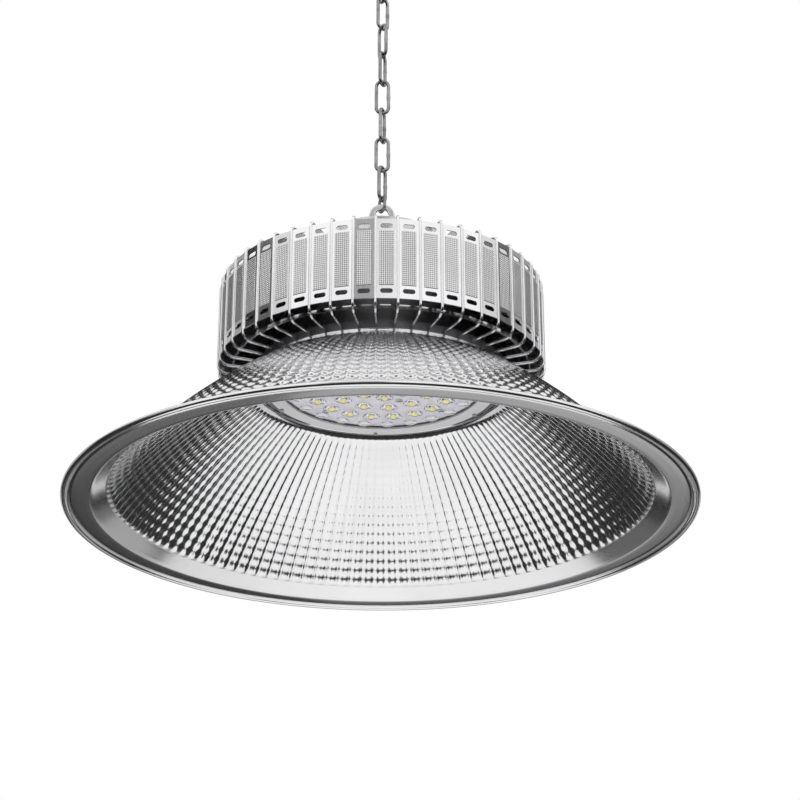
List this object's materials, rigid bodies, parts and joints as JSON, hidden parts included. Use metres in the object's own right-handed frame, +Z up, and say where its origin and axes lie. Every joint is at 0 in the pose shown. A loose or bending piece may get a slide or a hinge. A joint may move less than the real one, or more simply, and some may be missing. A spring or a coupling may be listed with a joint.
{
  "type": "high bay light",
  "caption": "High bay light: wide pressed aluminium shade under a ring of sheet fins, with a clear lens plate over light chips, hung by an eye bolt on a steel chain.",
  "frame": {"origin": "on the ceiling hook's axis, where its flange meets the ceiling", "axes": "+Z up along the hook's stud, +Y away from the viewer, +X to the viewer's right"},
  "size_m": [0.5, 0.5, 0.5605],
  "materials": {
    "chain_steel": "zinc plated",
    "bright_steel": "bright plated",
    "shade_aluminium": "polished, pressed relief",
    "fin_aluminium": "mill finish sheet",
    "heatsink_aluminium": "satin",
    "ring_aluminium": "turned, satin",
    "cover_aluminium": "spun, satin",
    "board_white": "white solder mask",
    "chip_yellow": "phosphor under clear resin",
    "lens_clear": "clear moulded",
    "rubber_grey": "matt",
    "pad_grey": "matt",
    "driver_case": "satin",
    "lead_white": "satin",
    "gland_black": "satin"
  },
  "bodies": {
    "hook": {"ceiling_hook": "chain_steel"},
    "link_1": {"chain_link_1": "chain_steel"},
    "link_2": {"chain_link_2": "chain_steel"},
    "link_3": {"chain_link_3": "chain_steel"},
    "link_4": {"chain_link_4": "chain_steel"},
    "link_5": {"chain_link_5": "chain_steel"},
    "link_6": {"chain_link_6": "chain_steel"},
    "link_7": {"chain_link_7": "chain_steel"},
    "link_8": {"chain_link_8": "chain_steel"},
    "connector": {"connecting_link": "chain_steel"},
    "lamp": {"eye_bolt": "bright_steel", "eye_washer": "bright_steel", "eye_nut": "bright_steel", "shade": "shade_aluminium", "shade_screws": "bright_steel", "heatsink_core": "heatsink_aluminium", "fins": "fin_aluminium", "led_board": "board_white", "led_chips": "chip_yellow", "board_screws": "bright_steel", "lens_plate": "lens_clear", "lens_gasket": "rubber_grey", "lens_ring": "ring_aluminium", "lens_ring_screws": "bright_steel", "top_cover": "cover_aluminium", "cover_screws": "bright_steel", "driver_pad": "pad_grey", "driver": "driver_case", "driver_strap": "bright_steel", "strap_screws": "bright_steel", "driver_lead": "lead_white", "lead_grommet": "rubber_grey", "gland_seal": "rubber_grey", "gland_body": "gland_black", "gland_nut": "gland_black", "gland_locknut": "gland_black"}
  },
  "joints": [
    {"name": "link_swing_1", "type": "hinge", "parent": "hook", "child": "link_1", "pos_m": [0, 0, -0.027], "axis": [0.788, 0.6157, 0], "range_deg": [-15, 15]},
    {"name": "link_swing_2", "type": "hinge", "parent": "link_1", "child": "link_2", "pos_m": [0, 0, -0.055], "axis": [0.6157, -0.788, 0], "range_deg": [-15, 15]},
    {"name": "link_swing_3", "type": "hinge", "parent": "link_2", "child": "link_3", "pos_m": [0, 0, -0.0835], "axis": [0.788, 0.6157, 0], "range_deg": [-15, 15]},
    {"name": "link_swing_4", "type": "hinge", "parent": "link_3", "child": "link_4", "pos_m": [0, 0, -0.112], "axis": [0.5592, -0.829, 0], "range_deg": [-15, 15]},
    {"name": "link_swing_5", "type": "hinge", "parent": "link_4", "child": "link_5", "pos_m": [0, 0, -0.1405], "axis": [0.4067, 0.9135, 0], "range_deg": [-15, 15]},
    {"name": "link_swing_6", "type": "hinge", "parent": "link_5", "child": "link_6", "pos_m": [0, 0, -0.169], "axis": [1, 0, 0], "range_deg": [-15, 15]},
    {"name": "link_swing_7", "type": "hinge", "parent": "link_6", "child": "link_7", "pos_m": [0, 0, -0.1975], "axis": [0.3256, 0.9455, 0], "range_deg": [-15, 15]},
    {"name": "link_swing_8", "type": "hinge", "parent": "link_7", "child": "link_8", "pos_m": [0, 0, -0.226], "axis": [1, 0, 0], "range_deg": [-15, 15]},
    {"name": "connector_swing", "type": "hinge", "parent": "link_8", "child": "connector", "pos_m": [0, 0, -0.2545], "axis": [0.5, 0.866, 0], "range_deg": [-15, 15]},
    {"name": "lamp_swing", "type": "hinge", "parent": "connector", "child": "lamp", "pos_m": [0, 0, -0.2651], "axis": [-0.4695, 0.8829, 0], "range_deg": [-15, 15]}
  ]
}
